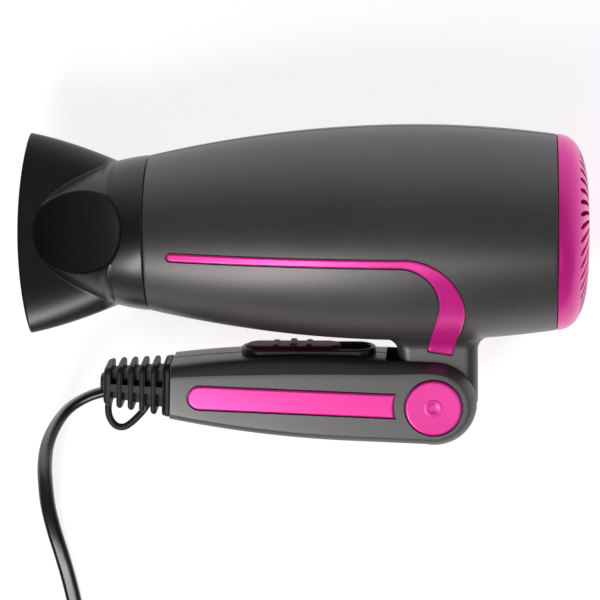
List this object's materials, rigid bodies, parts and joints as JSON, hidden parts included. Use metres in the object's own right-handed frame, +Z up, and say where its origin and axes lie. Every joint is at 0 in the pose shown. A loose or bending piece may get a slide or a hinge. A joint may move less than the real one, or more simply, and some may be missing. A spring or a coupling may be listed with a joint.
{
  "type": "hair dryer",
  "caption": "Folding travel hair dryer on its side, handle folded under the barrel, with flared concentrator nozzle, slide switch, strain relief with hanging loop, and coiled mains cord.",
  "frame": {"origin": "on the surface that the dryer lies on, under the middle of the dryer's box without its free cord, coil and plug", "axes": "+X along the barrel from the nozzle to the intake, +Z up along the hinge axis, +Y from the handle side to the barrel side"},
  "size_m": [0.2084, 0.2896, 0.0782],
  "materials": {
    "shell_grey": "metallic satin paint",
    "accent_pink": "pearl magenta paint",
    "slider_plum": "satin",
    "black_plastic": "satin",
    "mica": "dull, layered",
    "heater_wire": "oxidised resistance wire",
    "steel": "zinc plated",
    "brass": "plain",
    "nickel": "nickel plated",
    "magnet": "ferrite",
    "white_plastic": "natural nylon",
    "circuit_board": "solder mask",
    "mesh_grey": "moulded mesh",
    "copper": "lacquered copper winding on a steel core",
    "lead_insulation": "pvc",
    "soft_black": "soft pvc",
    "cord_black": "gloss pvc",
    "tie_black": "woven strap"
  },
  "bodies": {
    "handle": {"handle_shell_left": "shell_grey", "handle_shell_right": "shell_grey", "handle_stripe_left": "accent_pink", "handle_stripe_right": "accent_pink", "hinge_cap_left": "accent_pink", "hinge_cap_right": "accent_pink", "hinge_bolt": "steel", "hinge_nut": "steel", "hinge_washer": "brass", "switch_bezel": "black_plastic", "switch_body": "black_plastic", "handle_screws": "steel", "cord_clamp": "white_plastic", "clamp_screws": "steel", "handle_leads": "lead_insulation", "strain_relief": "soft_black", "cord_lead": "cord_black", "cord_coil": "cord_black", "cord_tail": "cord_black", "cord_tie": "tie_black", "plug_body": "cord_black", "plug_relief": "cord_black", "plug_pins": "nickel"},
    "barrel": {"barrel_shell_left": "shell_grey", "barrel_shell_right": "shell_grey", "barrel_stripe_left": "accent_pink", "barrel_stripe_right": "accent_pink", "outlet_collar": "black_plastic", "outlet_grille": "black_plastic", "mica_sleeve": "mica", "mica_board_upright": "mica", "mica_board_level": "mica", "heater_coils": "heater_wire", "thermostat": "steel", "thermal_fuse": "brass", "fan_duct": "black_plastic", "motor_can": "steel", "motor_magnets": "magnet", "motor_end_cap": "white_plastic", "diode_board": "circuit_board", "intake_mesh": "mesh_grey", "rear_cap": "accent_pink", "barrel_screws": "steel", "hinge_bush": "steel"},
    "nozzle": {"concentrator_nozzle": "black_plastic"},
    "rotor": {"fan_impeller": "black_plastic", "motor_shaft": "steel", "motor_armature": "copper"},
    "slider": {"switch_slider": "slider_plum"}
  },
  "joints": [
    {"name": "barrel_fold", "type": "hinge", "parent": "handle", "child": "barrel", "pos_m": [0.0475, -0.0424, 0.0391], "axis": [0, 0, -1], "range_deg": [0, 95]},
    {"name": "nozzle_turn", "type": "hinge", "parent": "barrel", "child": "nozzle", "pos_m": [-0.06, 0.0196, 0.0391], "axis": [1, 0, 0], "continuous": true},
    {"name": "fan_spin", "type": "hinge", "parent": "barrel", "child": "rotor", "pos_m": [0.06, 0.0196, 0.0391], "axis": [1, 0, 0], "continuous": true},
    {"name": "switch_slide", "type": "slide", "parent": "handle", "child": "slider", "axis": [1, 0, 0], "range_m": [0, 0.011]}
  ]
}
